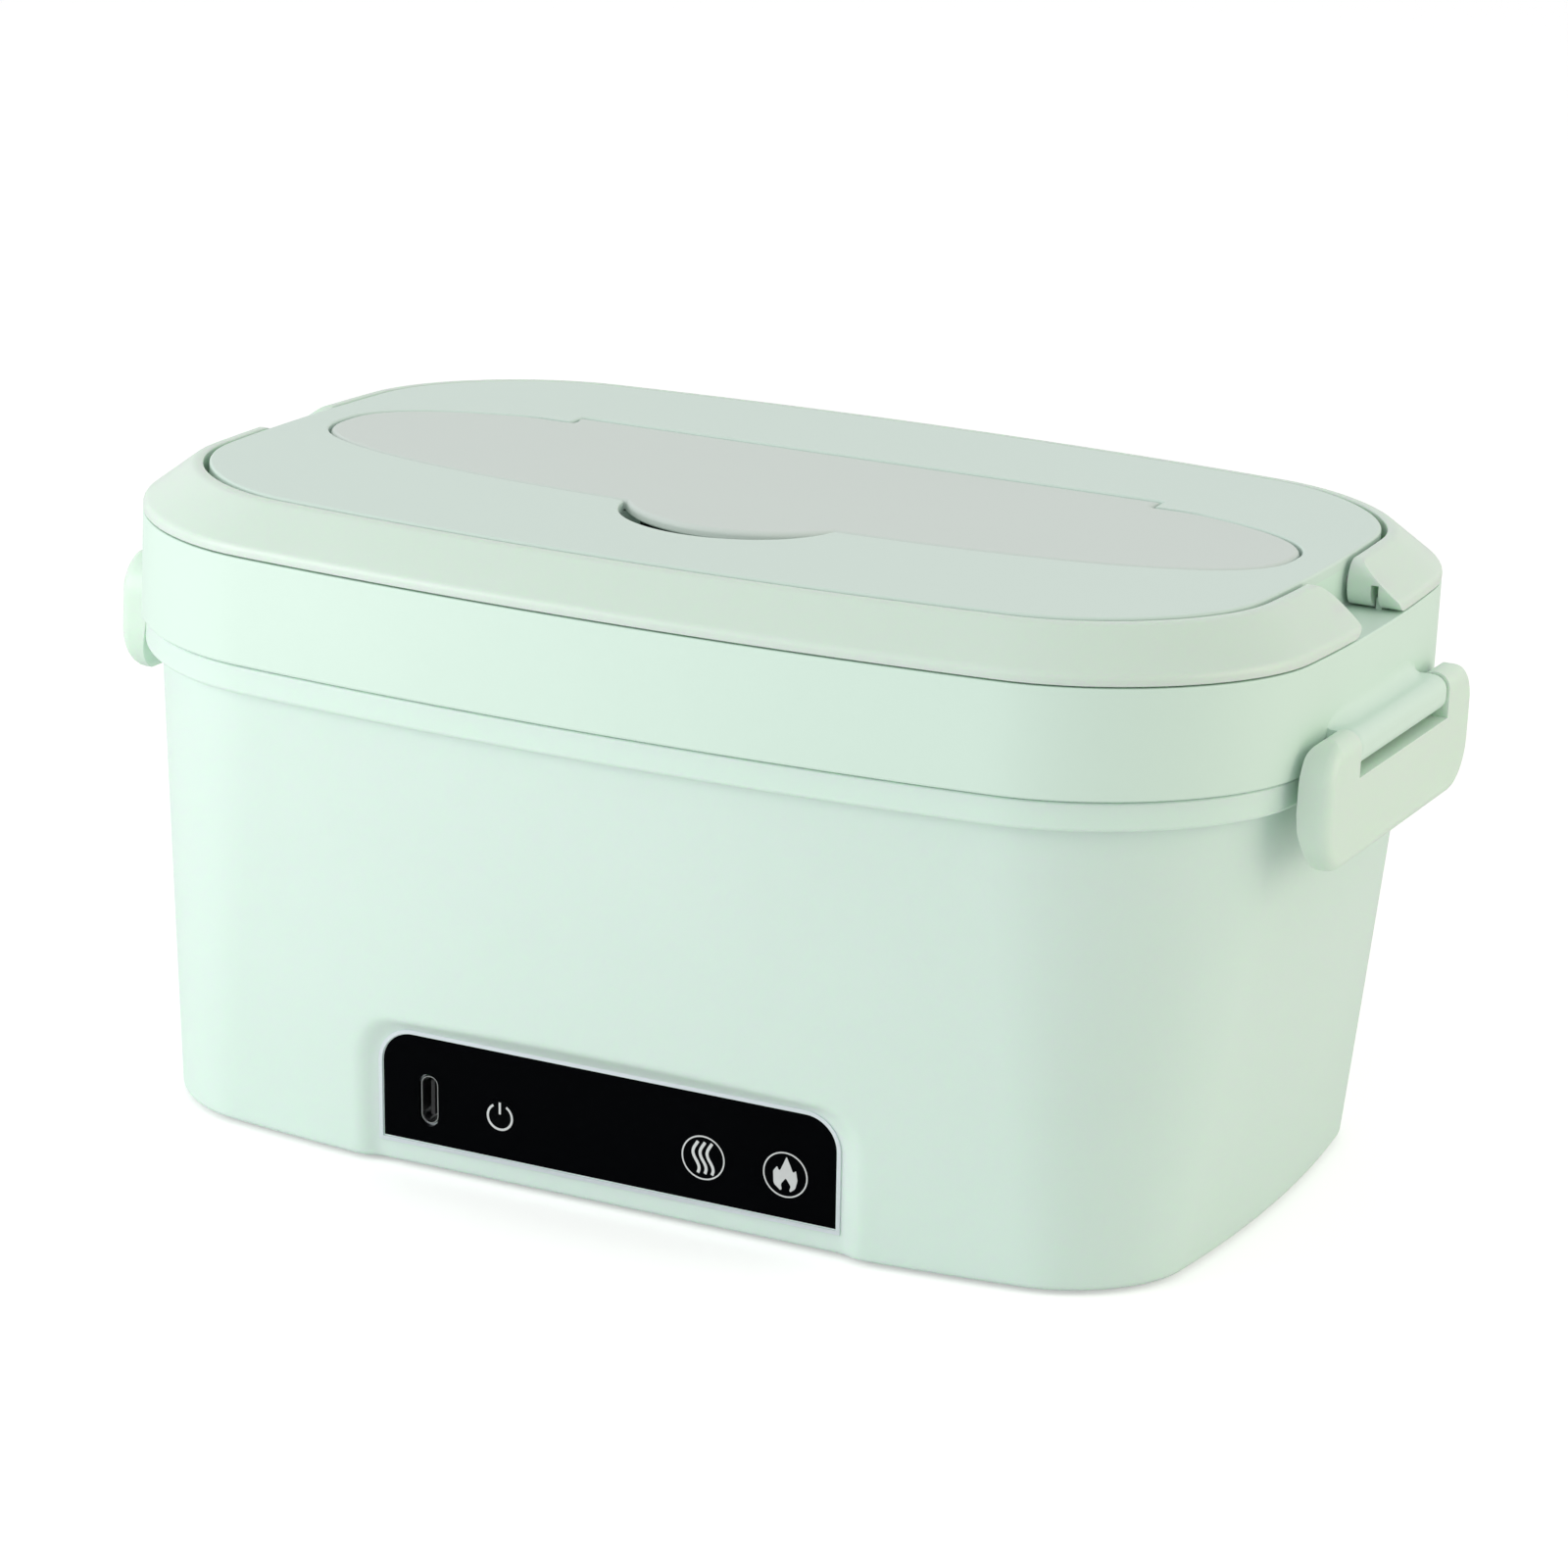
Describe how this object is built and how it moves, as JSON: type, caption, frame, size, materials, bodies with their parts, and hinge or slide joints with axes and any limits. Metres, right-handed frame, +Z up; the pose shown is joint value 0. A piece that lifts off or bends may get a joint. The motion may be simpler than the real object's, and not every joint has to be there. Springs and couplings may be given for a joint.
{
  "type": "electric lunch box",
  "caption": "Heated lunch box: tapered oval tub with a front control panel, latched lift-off lid, split folding handle and a hinged cutlery compartment.",
  "frame": {"origin": "centre of the footprint, on the surface that the feet stand on", "axes": "+X along the length, to the right of the control panel as a user faces it; -Y out of the control panel; +Z up"},
  "size_m": [0.2358, 0.155, 0.1176],
  "materials": {
    "mint_body": "pale mint, fine matte moulding",
    "mint_lid": "pale mint, fine matte moulding",
    "mint_handle": "pale mint, fine matte moulding",
    "mint_latch": "pale mint, fine matte moulding",
    "deck_mint": "greyed mint, matte",
    "cover_grey": "grey mint, matte",
    "grey_well": "grey, matte",
    "heater_aluminium": "anodised",
    "film_heater": "amber film",
    "insulation": "felt",
    "black_plastic": "matte",
    "red_wire": "silicone sleeve",
    "screw_steel": "zinc plated",
    "foot_rubber": "matte",
    "silver_frame": "silver lacquer",
    "black_overlay": "glossy black",
    "socket_steel": "nickel plated",
    "circuit_board": "green solder mask",
    "white_plastic": "satin",
    "led_lens": "clear",
    "container_steel": "satin stainless",
    "seal_silicone": "translucent white silicone"
  },
  "bodies": {
    "base": {"outer_shell": "mint_body", "rim_collar": "mint_body", "heating_well": "grey_well", "heater_plate": "heater_aluminium", "heater_film": "film_heater", "insulation_pad": "insulation", "thermal_cutout": "black_plastic", "heater_wires": "red_wire", "base_cover": "mint_body", "base_screws": "screw_steel", "feet": "foot_rubber", "panel_frame": "silver_frame", "panel_overlay": "black_overlay", "usb_socket": "socket_steel", "usb_tongue": "black_plastic", "button_switch": "black_plastic", "control_board": "circuit_board", "board_connector": "white_plastic", "board_screws": "screw_steel", "status_leds": "led_lens", "light_guides": "led_lens"},
    "power_button": {"power_button": "black_overlay"},
    "food_container": {"food_container": "container_steel"},
    "lid": {"lid_shell": "mint_lid", "top_deck": "deck_mint", "deck_screws": "screw_steel", "lid_liner": "white_plastic", "lid_gasket": "seal_silicone", "handle_pins": "screw_steel", "latch_pins": "screw_steel", "cover_pins": "screw_steel"},
    "handle_front": {"handle_front": "mint_handle"},
    "handle_back": {"handle_back": "mint_handle"},
    "latch_left": {"latch_left": "mint_latch"},
    "latch_right": {"latch_right": "mint_latch"},
    "cutlery_cover": {"cutlery_cover": "cover_grey"}
  },
  "joints": [
    {"name": "lid_lift", "type": "slide", "parent": "base", "child": "lid", "axis": [0, 0, 1], "range_m": [0, 0.16]},
    {"name": "container_lift", "type": "slide", "parent": "base", "child": "food_container", "axis": [0, 0, 1], "range_m": [0, 0.08]},
    {"name": "latch_right_turn", "type": "hinge", "parent": "lid", "child": "latch_right", "pos_m": [0.115, 0, 0.0934], "axis": [0, -1, 0], "range_deg": [0, 110]},
    {"name": "latch_left_turn", "type": "hinge", "parent": "lid", "child": "latch_left", "pos_m": [-0.115, 0, 0.0934], "axis": [0, 1, 0], "range_deg": [0, 110]},
    {"name": "handle_front_turn", "type": "hinge", "parent": "lid", "child": "handle_front", "pos_m": [0, -0.013, 0.1127], "axis": [-1, 0, 0], "range_deg": [0, 90]},
    {"name": "handle_back_turn", "type": "hinge", "parent": "lid", "child": "handle_back", "pos_m": [0, 0.013, 0.1127], "axis": [1, 0, 0], "range_deg": [0, 90]},
    {"name": "cover_turn", "type": "hinge", "parent": "lid", "child": "cutlery_cover", "pos_m": [0, 0.03, 0.1158], "axis": [-1, 0, 0], "range_deg": [0, 95]},
    {"name": "button_press", "type": "slide", "parent": "base", "child": "power_button", "axis": [0, 0.9967, 0.0814], "range_m": [0, 0.0004], "stiffness_N_per_m": 600, "springref_m": -0.002}
  ],
  "couplings": [
    {"joint": "container_lift", "follows": "lid_lift", "ratio": 0.45}
  ]
}
